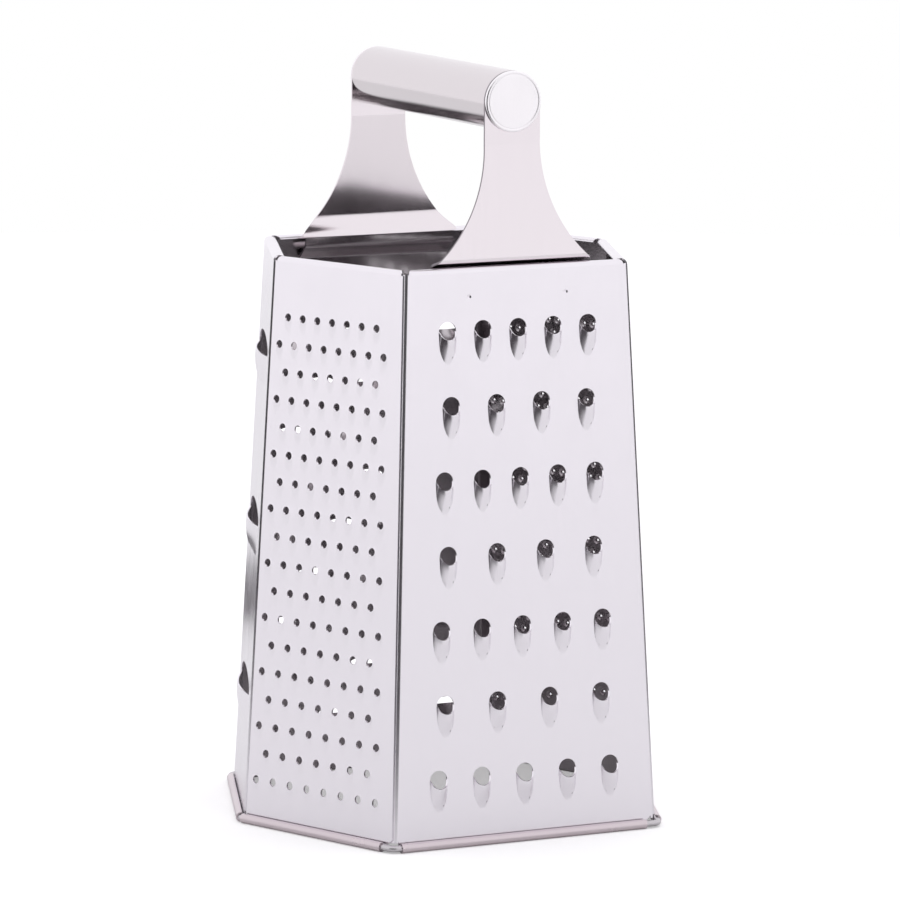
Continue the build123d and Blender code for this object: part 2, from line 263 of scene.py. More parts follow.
@dataclass(frozen=True)
class SteelFinish:
    """Stainless steel sheet, cold rolled and lightly brushed along its length.

    The eye gets a pale grey metal with soft, slightly uneven reflections and faint vertical streaks.
    Sizes are in millimetres. Real rolling lines lie well under 0.1 mm apart, which is too fine to show,
    so the streaks are drawn far coarser than they are.
    """

    name: str
    colour: str
    roughness: float
    streak_spacing: float
    streak_depth: float
    wave_size: float
    wave_depth: float
    tone: float = 0.03
    streak_stretch: float = 0.02
    smudge_size: float = 14.0
    smudge_range: tuple[float, float] = (0.3, 0.7)
    smudge_share: float = 0.12

    def material(self) -> bpy.types.Material:
        """Build the node material.

        Returns:
            The material.
        """
        steel = bpy.data.materials.new(self.name)
        steel.use_nodes = True
        steel.node_tree.nodes.clear()
        sheet = NodeSheet(steel.node_tree)
        place = sheet.add("ShaderNodeTexCoord").outputs["Object"]
        streaks = 1 / (self.streak_spacing * MM)
        grain_place = sheet.add(
            "ShaderNodeMapping", Vector=place, Scale=(streaks, streaks, streaks * self.streak_stretch),
        ).outputs["Vector"]
        grain = sheet.add("ShaderNodeTexNoise", Vector=grain_place, Scale=1.0, Detail=3.0, Roughness=0.6)
        wave = sheet.add(
            "ShaderNodeTexNoise", Vector=place, Scale=1 / (self.wave_size * MM), Detail=1.0, Roughness=0.4,
        )
        smudge = sheet.add(
            "ShaderNodeTexNoise", Vector=place, Scale=1 / (self.smudge_size * MM), Detail=4.0, Roughness=0.55,
        )
        dark = tuple(channel * (1 - self.tone) for channel in linear(self.colour)[:3]) + (1.0,)
        tint = sheet.add("ShaderNodeMix", {"data_type": "RGBA"})
        steel.node_tree.links.new(grain.outputs["Fac"], tint.inputs["Factor"])
        tint.inputs[6].default_value = dark
        tint.inputs[7].default_value = linear(self.colour)
        rough = sheet.add(
            "ShaderNodeMapRange", Value=smudge.outputs["Fac"],
            From_Min=self.smudge_range[0], From_Max=self.smudge_range[1],
            To_Min=self.roughness * (1 - self.smudge_share), To_Max=self.roughness * (1 + self.smudge_share),
        )
        wavy = sheet.add("ShaderNodeBump", Height=wave.outputs["Fac"], Distance=self.wave_depth * MM, Strength=1.0)
        fine = sheet.add(
            "ShaderNodeBump", Height=grain.outputs["Fac"], Distance=self.streak_depth * MM, Strength=1.0,
            Normal=wavy.outputs["Normal"],
        )
        shader = sheet.add(
            "ShaderNodeBsdfPrincipled", Base_Color=tint.outputs[2], Metallic=1.0,
            Roughness=rough.outputs["Result"], Normal=fine.outputs["Normal"],
        )
        sheet.add("ShaderNodeOutputMaterial", Surface=shader.outputs["BSDF"])
        return steel


class Finish(Enum):
    """Finishes of the grater's pieces."""

    # Sheet as it leaves bright rollers: pale, with a soft mirror of the room.
    PANEL = SteelFinish("bright_rolled_stainless_sheet", "#F3EFF4", 0.24, 0.9, 0.0006, 40, 0.012)
    # The same sheet's inner side, coloured greyer than the outer as painted shade, so that the inside and the holes
    # look deep.
    INNER = SteelFinish("inner_stainless_sheet_painted_shade", "#CAC4C8", 0.22, 0.9, 0.0008, 40, 0.012)
    # Polished plate: a sharper mirror, with clear dark bands on its steps.
    ARM = SteelFinish("polished_stainless_arm_plate", "#EDE6E9", 0.12, 1.2, 0.0003, 30, 0.006)
    # Drawn and polished tube: long bright and dark lines along the grip.
    TUBE = SteelFinish("polished_stainless_tube", "#E0DADC", 0.15, 1.6, 0.0002, 45, 0.004)
    # Sheet rolled over at the foot: duller than the walls, and coloured a darker, warmer grey as painted shade along
    # the foot.
    BEAD = SteelFinish("foot_bead_painted_shade", "#D6CBCF", 0.3, 0.9, 0.0008, 20, 0.01)
    # Edge as the shears leave it: a thin dark outline.
    EDGE = SteelFinish("sheared_stainless_edge", "#8E878C", 0.35, 0.6, 0.001, 20, 0.004)
    # Brushed disc: nearly white, so that its pressed ring is the only line.
    CAP = SteelFinish("brushed_stainless_cap", "#FFFCFE", 0.3, 0.8, 0.0008, 20, 0.006)
    # Drawn wire: a soft grey line where it shows between the beads.
    WIRE = SteelFinish("drawn_stainless_wire", "#C9C5C8", 0.28, 1.0, 0.0005, 20, 0.004)

    def made(self) -> bpy.types.Material:
        """Return the material of this finish, built at its first use."""
        return bpy.data.materials.get(self.value.name) or self.value.material()


@dataclass(frozen=True)
class BodyShape:
    """Outer form of the tapering six-sided body, in millimetres."""

    rim_height: float = 180.0
    rim_half_width: float = 38.5
    rim_half_depth: float = 52.5
    foot_half_width: float = 45.75
    foot_half_depth: float = 61.0
    side_slant: float = 0.386
    sheet: float = 0.5
    corner_radius: float = 1.3
    lap_width: float = 4.0
    seam_gap: float = 0.15
    tongue_drop: float = 1.2
    tongue_lift: float = 3.0
    lip_width: float = 3.6
    lip_radius: float = 1.6
    lip_inset: float = 1.5
    lip_droop: float = 8.0
    curl_radius: float = 1.0
    curl_turn: float = 75.0
    ear_rise: float = 0.3
    wire_radius: float = 1.0
    wire_fit: float = 0.03
    bead_wrap: float = 285.0
    seat_flat: float = 0.05
    foot_notch: float = 2.4

    @property
    def roll_radius(self) -> float:
        """Inner radius of the rolled foot bead."""
        return self.wire_radius + self.wire_fit

    @property
    def wire_height(self) -> float:
        """Height of the foot wire's centre over the floor."""
        return self.roll_radius + self.sheet - self.seat_flat

    def corner(self, index: int, height: float) -> Vector:
        """Sharp outer corner of the body.

        Args:
            index: Corner number, anticlockwise from the front left one.
            height: Height over the floor.

        Returns:
            The corner, in millimetres.
        """
        share = height / self.rim_height
        wide = self.foot_half_width + (self.rim_half_width - self.foot_half_width) * share
        deep = self.foot_half_depth + (self.rim_half_depth - self.foot_half_depth) * share
        apex = wide + self.side_slant * deep
        plan = [(-wide, -deep), (wide, -deep), (apex, 0), (wide, deep), (-wide, deep), (-apex, 0)]
        return Vector((*plan[index % 6], height))


class Side(Enum):
    """Faces of the body, anticlockwise from the front: left corner, bends carried and bead gaps."""

    COARSE = ("coarse", 0, (True, True), (2.0, 4.0))
    MEDIUM = ("medium", 1, (False, True), (4.0, 4.0))
    ZESTER = ("zester", 2, (False, False), (4.0, 4.0))
    RIBBON = ("ribbon", 3, (True, True), (4.0, 4.0))
    SLICER = ("slicer", 4, (False, False), (4.0, 0.6))
    FINE = ("fine", 5, (True, False), (0.6, 4.0))

    @property
    def title(self) -> str:
        """Name of the face."""
        return self.value[0]

    @property
    def index(self) -> int:
        """Number of its left corner."""
        return self.value[1]

    def bends(self, right: bool) -> bool:
        """Whether this face's sheet carries the bend at a corner."""
        return self.value[2][right]

    def bead_gap(self, right: bool) -> float:
        """How far from a corner line the foot bead ends, in millimetres."""
        return self.value[3][right]


@dataclass
class Wall:
    """One flat face with its own frame: x to the right, y up and z outwards."""

    side: Side
    body: BodyShape
    frame: Matrix = field(init=False)
    lean: float = field(init=False)

    def __post_init__(self) -> None:
        """Work out the frame from the face's corners."""
        left, right = self.body.corner(self.side.index, 0), self.body.corner(self.side.index + 1, 0)
        across = (right - left).normalized()
        up = self.body.corner(self.side.index, self.body.rim_height) - left
        outward = across.cross(up).normalized()
        upward = outward.cross(across)
        turn = Matrix((across, upward, outward)).transposed()
        self.frame = Matrix.Translation((left + right) / 2) @ turn.to_4x4()
        self.lean = math.asin(outward.z)

    @property
    def outward(self) -> Vector:
        """Direction in which the face looks."""
        return self.frame.to_3x3().col[2].copy()

    @property
    def bead_y(self) -> float:
        """Place up the face where the foot bead begins."""
        return (self.body.wire_height - self.body.roll_radius * math.sin(self.lean)) / math.cos(self.lean)

    @property
    def lip_y(self) -> float:
        """Place up the face where the rim lip begins."""
        drop = self.body.lip_radius * (1 - math.sin(self.lean))
        return (self.body.rim_height - drop) / math.cos(self.lean)

    def local(self, point: Vector) -> Vector:
        """Turn a point of the body into the face's own frame."""
        return self.frame.inverted() @ point

    def corner_ends(self, right: bool) -> tuple[Vector, Vector]:
        """Foot and rim ends of a corner line in the face's own frame, at the right or left corner."""
        index = self.side.index + (1 if right else 0)
        return self.local(self.body.corner(index, 0)), self.local(self.body.corner(index, self.body.rim_height))

    def edge_x(self, right: bool, y: float, inset: float) -> float:
        """Place across the face that lies an inset inside a corner line.

        Args:
            right: True for the right corner.
            y: Place up the face.
            inset: Distance inside the corner line.

        Returns:
            The place across the face.
        """
        foot, rim = self.corner_ends(right)
        slope = (rim.x - foot.x) / (rim.y - foot.y)
        sideways = inset / math.cos(math.atan(slope))
        return foot.x + slope * (y - foot.y) + (-sideways if right else sideways)

    def turn(self, right: bool) -> float:
        """Angle by which the outer face turns at a corner.

        Args:
            right: True for the right corner.

        Returns:
            The angle in radians.
        """
        sides = list(Side)
        other = sides[(self.side.index + (1 if right else -1)) % len(sides)]
        return self.outward.angle(Wall(other, self.body).outward)

    def sheet_inset(self, right: bool) -> float:
        """Distance from the corner line to the edge of the flat sheet.

        Args:
            right: True for the right corner.

        Returns:
            The distance in millimetres.
        """
        turn = self.turn(right)
        tangent = self.body.corner_radius * math.tan(turn / 2)
        if self.side.bends(right):
            return tangent + self.body.sheet / math.sin(turn)
        return tangent - self.body.sheet / math.tan(turn) + self.body.seam_gap

    def height_y(self, height: float) -> float:
        """Place up the face that reaches a height over the floor."""
        return height / math.cos(self.lean)


@dataclass(frozen=True)
class Scoop:
    """Tooth drawn out of the sheet: a rounded hole whose lower edge stands up as a lip.

    Sizes are in millimetres. Below the lip the sheet falls back to flat in a soft, narrowing scoop.
    """

    half_width: float
    rise: float
    dip: float
    proud: float
    length: float
    tail_half_width: float
    tail_dip: float
    fade: float = 1.2
    level: float = 1.8
    taper: float = 2.5
    crown: float = 1.0
    tail_crown: float = 2.0
    across: int = 14
    along: int = 10
    tail_edge: float = 0.999

    def plan(self, u: float, v: float) -> tuple[float, float]:
        """Plan place of a scoop point.

        Args:
            u: From -1 at the left side to 1 at the right side.
            v: From 0 at the lip to 1 at the tail.

        Returns:
            The place across and up the face.
        """
        angle = u * math.pi / 2
        width = self.half_width + (self.tail_half_width - self.half_width) * v**self.taper
        dip = self.dip + (self.tail_dip - self.dip) * v
        sink = (self.length - self.tail_dip) * v
        return width * math.sin(angle), -dip * math.cos(angle) - sink

    def height(self, u: float, v: float) -> float:
        """Height over the flat sheet: an arch that starts level, then falls and softens to the tail."""
        arch = max(0.0, math.cos(u * math.pi / 2)) ** (self.crown + (self.tail_crown - self.crown) * v)
        return self.proud * (1 - v**self.level) ** self.fade * arch

    def opening(self) -> list[tuple[float, float]]:
        """Outline of what the scoop takes out of the flat sheet.

        Returns:
            Places across and up the face, clockwise from the scoop's left side.
        """
        upper = []
        for step in range(self.across + 1):
            angle = math.pi * (1 - step / self.across)
            upper.append((self.half_width * math.cos(angle), self.rise * math.sin(angle)))
        rows = [row / self.along for row in range(1, self.along + 1)]
        right = [self.plan(1, v) for v in rows]
        left = [self.plan(-1, v) for v in rows]
        tail = [self.plan(1 - 2 * step / self.across, 1) for step in range(1, self.across)]
        return upper + right + tail + left[::-1]

    def build(self, name: str) -> bpy.types.Object:
        """Model one tooth at the origin.

        Args:
            name: Name of the object.

        Returns:
            The tooth: its raised sheet and the edges of its opening.
        """
        deselect_all()
        bpy.ops.mesh.primitive_grid_add(x_subdivisions=self.across, y_subdivisions=self.along, size=2)
        tongue = bpy.context.object
        tongue.name = name
        for vertex in tongue.data.vertices:
            u, v = vertex.co.x, (1 - vertex.co.y) / 2
            x, y = self.plan(u, v)
            vertex.co = Vector((x, y, self.height(u, v) if v < self.tail_edge else 0.0)) * MM
        loop = self.opening()
        deselect_all()
        bpy.ops.mesh.primitive_circle_add(vertices=len(loop), radius=1, fill_type="NOTHING")
        ring = bpy.context.object
        for vertex, (x, y) in zip(ring.data.vertices, loop):
            vertex.co = Vector((x, y, 0)) * MM
        tooth = join([tongue, ring])
        merge_doubles(tooth)
        return tooth


@dataclass(frozen=True)
class Prick:
    """Small pierced tooth: a round or square hole in a raised burr, in millimetres.

    With tilt, the upper edge stays flush and the lower one stands up, as on a fine grating face.
    """

    hole_radius: float
    burr_radius: float
    proud: float
    sides: int
    tilt: float
    tail: float
    jag: float = 0.0
    rings: int = 2
    jag_pull: float = 0.45
    fall: float = 1.4

    def build(self, name: str) -> bpy.types.Object:
        """Model one tooth at the origin.

        Args:
            name: Name of the object.

        Returns:
            The tooth, whose outermost edges lie in the sheet.
        """
        deselect_all()
        bpy.ops.mesh.primitive_circle_add(vertices=self.sides, radius=self.hole_radius * MM, fill_type="NOTHING")
        tooth = bpy.context.object
        tooth.name = name
        bpy.ops.object.mode_set(mode="EDIT")
        for ring in range(self.rings):
            bpy.ops.mesh.select_all(action="DESELECT")
            first = ring * self.sides
            select_in_edit(tooth, "edges", lambda e, first=first: min(v.index for v in e.verts) >= first)
            bpy.ops.mesh.extrude_edges_move()
            step = self.hole_radius + (self.burr_radius - self.hole_radius) * (ring + 1) / self.rings
            previous = self.hole_radius + (self.burr_radius - self.hole_radius) * ring / self.rings
            bpy.ops.transform.resize(value=(step / previous, step / previous, 1))
            bmesh.from_edit_mesh(tooth.data).verts.index_update()
        bpy.ops.object.mode_set(mode="OBJECT")
        self.raise_burr(tooth.data)
        return tooth

    def raise_burr(self, mesh: bpy.types.Mesh) -> None:
        """Lift the hole's edge and let the burr run out downwards.

        Args:
            mesh: The tooth's mesh, whose rings are still flat.
        """
        for vertex in mesh.vertices:
            x, y = vertex.co.x / MM, vertex.co.y / MM
            radius = math.hypot(x, y)
            out = min(1.0, max(0.0, (radius - self.hole_radius) / (self.burr_radius - self.hole_radius)))
            lift = 1 - self.tilt * (1 + y / radius) / 2
            jagged = 1 - self.jag * (vertex.index % 2)
            down = max(0.0, -y / radius)
            y -= self.tail * down * out
            radial = 1 - self.jag_pull * (1 - jagged) * (1 - out)
            height = self.proud * lift * jagged * (1 - out) ** self.fall
            vertex.co = Vector((x * radial, y * radial if out < 1 else y, height)) * MM


@dataclass(frozen=True)
class Dimple:
    """Shallow mark that a spot weld leaves on the outer side, in millimetres."""

    radius: float = 0.75
    depth: float = 0.55
    sides: int = 16
    middle_share: float = 0.1

    def build(self, name: str) -> bpy.types.Object:
        """Model one mark at the origin.

        Args:
            name: Name of the object.

        Returns:
            The mark, whose outer edge lies in the sheet.
        """
        deselect_all()
        bpy.ops.mesh.primitive_circle_add(vertices=self.sides, radius=self.radius * MM, fill_type="TRIFAN")
        mark = bpy.context.object
        mark.name = name
        bpy.ops.object.mode_set(mode="EDIT")
        select_in_edit(mark, "verts", lambda v: v.co.length < self.middle_share * self.radius * MM)
        bpy.ops.transform.translate(value=(0, 0, -self.depth * MM))
        bpy.ops.object.mode_set(mode="OBJECT")
        return mark


@dataclass(frozen=True)
class ToothRows:
    """Rows of teeth up a face, in millimetres; full rows alternate with rows one tooth short."""

    top: float
    pitch: float
    rows: int
    holes: int
    wide_margin: float
    narrow_margin: float
    shift: float = 0.0
    starts_short: bool = False

    def places(self, wall: Wall) -> list[tuple[float, float]]:
        """Places of the teeth on a face.

        Args:
            wall: The face.

        Returns:
            Places across and up the face.
        """
        found = []
        for row in range(self.rows):
            y = wall.height_y(self.top - self.pitch * row)
            short = (row + self.starts_short) % 2
            margin = self.narrow_margin if short else self.wide_margin
            left = wall.edge_x(False, y, margin) - self.shift
            right = wall.edge_x(True, y, margin) - self.shift
            if self.holes == 1:
                found.append(((left + right) / 2, y))
                continue
            if short and self.narrow_margin == self.wide_margin:
                half_step = (right - left) / (self.holes - 1) / 2
                left, right = left + half_step, right - half_step
            count = self.holes - short
            found += [(left + (right - left) * place / (count - 1), y) for place in range(count)]
        return found


@dataclass
class SheetPanel:
    """One stamped wall: flat sheet with teeth, corner bends, rim lip and rolled foot bead."""

    wall: Wall
    teeth: list[tuple[Scoop | Prick | Dimple, list[tuple[float, float]]]]
    node: str
    lip_steps: int = 8
    curl_steps: int = 6
    lip_parts: int = 8
    bead_steps: int = 28
    bead_parts: int = 4
    bend_steps: int = 12
    bend_parts: int = 12
    roll_share: float = 0.6
    smooth_angle: float = 32.0

    @property
    def body(self) -> BodyShape:
        """Shape of the whole body."""
        return self.wall.body

    def outline(self) -> list[tuple[float, float]]:
        """Outline of the flat sheet.

        Returns:
            Places across and up the face, clockwise from its lower left corner.
        """
        wall, body = self.wall, self.body
        ear_y = wall.height_y(body.rim_height - body.tongue_drop + body.ear_rise)
        notch_y = wall.bead_y + body.foot_notch
        rails = []
        for right in (False, True):
            inset = wall.sheet_inset(right)
            rail = [
                (wall.edge_x(right, wall.bead_y, wall.side.bead_gap(right)), wall.bead_y),
                (wall.edge_x(right, notch_y, inset), notch_y),
                (wall.edge_x(right, ear_y, inset), ear_y),
                (wall.edge_x(right, ear_y, body.lip_inset), ear_y),
                (wall.edge_x(right, wall.lip_y, body.lip_inset), wall.lip_y),
            ]
            if ear_y > wall.lip_y or abs(inset - body.lip_inset) < body.seam_gap:
                rail = rail[:2] + [(wall.edge_x(right, wall.lip_y, inset), wall.lip_y)]
            rails.append(rail)
        return rails[0] + rails[1][::-1]

    def cut_blank(self) -> bpy.types.Object:
        """Make the blank: the outline and all teeth, with the flat sheet filled in between.

        Returns:
            The blank in the face's own frame.
        """
        outline = self.outline()
        deselect_all()
        bpy.ops.mesh.primitive_circle_add(vertices=len(outline), radius=1, fill_type="NOTHING")
        blank = bpy.context.object
        for vertex, (x, y) in zip(blank.data.vertices, outline):
            vertex.co = Vector((x, y, 0)) * MM
        copies = []
        for tooth, places in self.teeth:
            master = tooth.build(f"{self.wall.side.title}_tooth")
            copies += [copy_of(master, Matrix.Translation(Vector((x, y, 0)) * MM)) for x, y in places]
            bpy.data.objects.remove(master, do_unlink=True)
        blank = join([blank, *copies])
        bpy.ops.object.mode_set(mode="EDIT")
        bpy.ops.mesh.select_mode(type="EDGE")
        select_in_edit(
            blank, "edges",
            lambda e: len(e.link_faces) < 2 and all(abs(v.co.z) < IN_SHEET for v in e.verts),
        )
        bpy.ops.mesh.fill(use_beauty=True)
        bpy.ops.mesh.select_all(action="SELECT")
        bpy.ops.mesh.normals_make_consistent(inside=False)
        bpy.ops.object.mode_set(mode="OBJECT")
        lowest = min(blank.data.polygons, key=lambda f: f.center.y)
        if lowest.normal.z < 0:
            blank.data.flip_normals()
        return blank

    def add_strip(self, rows: list[list[Vector]]) -> bpy.types.Object:
        """Make a strip of quads through rows of points.

        Args:
            rows: Rows of points in the face's own frame, in millimetres, all the same length.

        Returns:
            The strip.
        """
        deselect_all()
        bpy.ops.mesh.primitive_grid_add(x_subdivisions=len(rows[0]) - 1, y_subdivisions=len(rows) - 1, size=2)
        strip = bpy.context.object
        width = len(rows[0])
        for vertex in strip.data.vertices:
            vertex.co = rows[vertex.index // width][vertex.index % width] * MM
        return strip

    def lip_rows(self) -> list[list[Vector]]:
        """Work out the rim lip.

        Returns:
            Rows of points from the flat sheet over the bend to the lip's free edge.
        """
        wall, body = self.wall, self.body
        turn = math.radians(90 + body.lip_droop) + wall.lean
        left, right = (wall.edge_x(side, wall.lip_y, body.lip_inset) for side in (False, True))
        shears = [math.tan(wall.turn(side) / 2) for side in (False, True)]
        section = []
        for step in range(self.lip_steps + 1):
            angle = turn * step / self.lip_steps
            section.append((wall.lip_y + body.lip_radius * math.sin(angle), -body.lip_radius * (1 - math.cos(angle))))
        reach = body.lip_width - body.lip_radius - body.curl_radius
        last = section[-1]
        start = (last[0] + reach * math.cos(turn), last[1] - reach * math.sin(turn))
        for step in range(self.curl_steps + 1):
            angle = turn + math.radians(body.curl_turn) * step / self.curl_steps
            along = body.curl_radius * (math.sin(angle) - math.sin(turn))
            down = body.curl_radius * (math.cos(turn) - math.cos(angle))
            section.append((start[0] + along, start[1] - down))
        rows = []
        for y, z in section:
            start, end = left - z * shears[0], right + z * shears[1]
            shares = range(self.lip_parts + 1)
            rows.append([Vector((start + (end - start) * share / self.lip_parts, y, z)) for share in shares])
        return rows

    def bead_rows(self) -> list[list[Vector]]:
        """Work out the foot bead.

        Returns:
            Rows of points from the flat sheet round the wire to the bead's free edge.
        """
        wall, body = self.wall, self.body
        left, right = (wall.edge_x(side, wall.bead_y, wall.side.bead_gap(side)) for side in (False, True))
        rows = []
        shares = range(self.bead_parts + 1)
        for step in range(self.bead_steps + 1):
            angle = math.radians(body.bead_wrap) * step / self.bead_steps
            y = wall.bead_y - body.roll_radius * math.sin(angle)
            z = body.roll_radius * (1 - math.cos(angle))
            rows.append([Vector((left + (right - left) * share / self.bead_parts, y, z)) for share in shares])
        return rows

    def bend_rows(self, right: bool) -> list[list[Vector]]:
        """Rows of a corner bend and of the flange that laps behind the next wall.

        Args:
            right: True for the right corner.

        Returns:
            Rows along the corner, from the flat sheet outwards.
        """
        wall, body = self.wall, self.body
        turn = wall.turn(right)
        sign = 1 if right else -1
        foot, rim = wall.corner_ends(right)
        along = (rim - foot).normalized()
        toward = along.cross(Vector((0, 0, 1))) * sign
        tangent = body.corner_radius * math.tan(turn / 2)
        low = foot + along * (body.tongue_lift / (along.y * math.cos(wall.lean)))
        length = (body.rim_height - body.tongue_drop - body.tongue_lift) / (along.y * math.cos(wall.lean))
        base = low - toward * (body.sheet / math.sin(turn) + tangent)
        section = []
        for step in range(self.bend_steps + 1):
            angle = turn * step / self.bend_steps
            section.append((body.corner_radius * math.sin(angle), -body.corner_radius * (1 - math.cos(angle))))
        last = section[-1]
        section.append((last[0] + body.lap_width * math.cos(turn), last[1] - body.lap_width * math.sin(turn)))
        rows = []
        for sideways, depth in section:
            start = base + toward * sideways + Vector((0, 0, depth))
            shares = range(self.bend_parts + 1)
            rows.append([start + along * (length * share / self.bend_parts) for share in shares])
        return rows

    def build(self) -> bpy.types.Object:
        """Model the whole panel in place.

        Returns:
            The panel, dressed and riding on the body.
        """
        blank = self.cut_blank()
        strips = [self.add_strip(self.lip_rows()), self.add_strip(self.bead_rows())]
        strips += [self.add_strip(self.bend_rows(right)) for right in (False, True) if self.wall.side.bends(right)]
        for strip in strips:
            self.face_outwards(strip)
        panel = join([blank, *strips])
        merge_doubles(panel, SEAM_DISTANCE)
        panel.data.materials.clear()
        # The inner finish paints shade on the inside, and the bead finish paints shade along the foot bead.
        for finish in (Finish.PANEL, Finish.INNER, Finish.BEAD):
            panel.data.materials.append(finish.made())
        for face in panel.data.polygons:
            face.material_index = 2 * int(self.on_roll(face.center / MM))
        thicken(panel, self.body.sheet)
        panel.data.transform(Matrix.Scale(MM, 4) @ self.wall.frame @ Matrix.Scale(1 / MM, 4))
        smooth(panel, self.smooth_angle)
        keep_flats(panel)
        panel.name = f"{self.wall.side.title}_sheet"
        panel.data.name = panel.name
        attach(panel, "root")
        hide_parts(self.node)
        count = sum(len(places) for _, places in self.teeth)
        LOG.info("%s: %d teeth and marks, %d faces", panel.name, count, len(panel.data.polygons))
        return panel

    def on_roll(self, place: Vector) -> bool:
        """Whether a place lies where the foot bead has turned the sheet's inner side outwards."""
        low = place.y < self.wall.bead_y + 2 * self.body.roll_radius
        return low and place.z > self.roll_share * self.body.roll_radius

    def face_outwards(self, strip: bpy.types.Object) -> None:
        """Turn a strip so that its faces continue the sheet's outer side.

        Args:
            strip: The strip, whose first row lies along the flat sheet.
        """
        first = min(strip.data.polygons, key=lambda f: abs(f.center.z))
        if first.normal.z < 0:
            strip.data.flip_normals()


@dataclass
class FootWire:
    """Stiffening wire, one closed ring inside the six foot beads."""

    body: BodyShape
    corner_steps: int = 8
    roundness: int = 5
    smooth_angle: float = 60.0

    def corners(self) -> list[Vector]:
        """Work out where neighbouring beads' middle lines meet.

        Returns:
            Sharp corners of the wire's middle line, in millimetres.
        """
        lines = []
        for side in Side:
            wall = Wall(side, self.body)
            point = wall.frame @ Vector((0, wall.bead_y, self.body.roll_radius))
            lines.append((point, wall.frame.to_3x3().col[0].copy()))
        found = []
        for place, (point, direction) in enumerate(lines):
            other_point, other = lines[(place + 1) % len(lines)]
            gap = other_point - point
            reach = (gap.x * other.y - gap.y * other.x) / (direction.x * other.y - direction.y * other.x)
            meeting = point + direction * reach
            found.append(Vector((meeting.x, meeting.y, self.body.wire_height)))
        return found

    def build(self) -> bpy.types.Object:
        """Bend the wire and make it a mesh.

        Returns:
            The wire.
        """
        corners = self.corners()
        radius = self.body.corner_radius + self.body.roll_radius
        points = []
        for place, corner in enumerate(corners):
            before = (corners[place - 1] - corner).normalized()
            after = (corners[(place + 1) % len(corners)] - corner).normalized()
            half = before.angle(after) / 2
            tangent = radius / math.tan(half)
            middle = corner + (before + after).normalized() * (radius / math.sin(half))
            start, end = corner + before * tangent - middle, corner + after * tangent - middle
            points += arc(middle, start, end, self.corner_steps)
        curve = bpy.data.curves.new("foot_wire", "CURVE")
        curve.dimensions = "3D"
        spline = curve.splines.new("POLY")
        spline.points.add(len(points) - 1)
        for knot, point in zip(spline.points, points):
            knot.co = (*(point * MM), 1)
        spline.use_cyclic_u = True
        curve.bevel_depth = self.body.wire_radius * MM
        curve.bevel_resolution = self.roundness
        wire = bpy.data.objects.new("foot_wire", curve)
        bpy.context.scene.collection.objects.link(wire)
        make_active(wire)
        bpy.ops.object.convert(target="MESH")
        wire = bpy.context.object
        wire.data.materials.append(Finish.WIRE.made())
        smooth(wire, self.smooth_angle)
        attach(wire, "root")
        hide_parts("base_wire")
        LOG.info("%s: %d faces", wire.name, len(wire.data.polygons))
        return wire


@dataclass(frozen=True)
class ArmStep:
    """How an arm steps in behind the rim, in millimetres and degrees."""

    setback: float
    rise: float
    angle: float
    clearance: float
    base_bend_share: float
    tab_bend_share: float


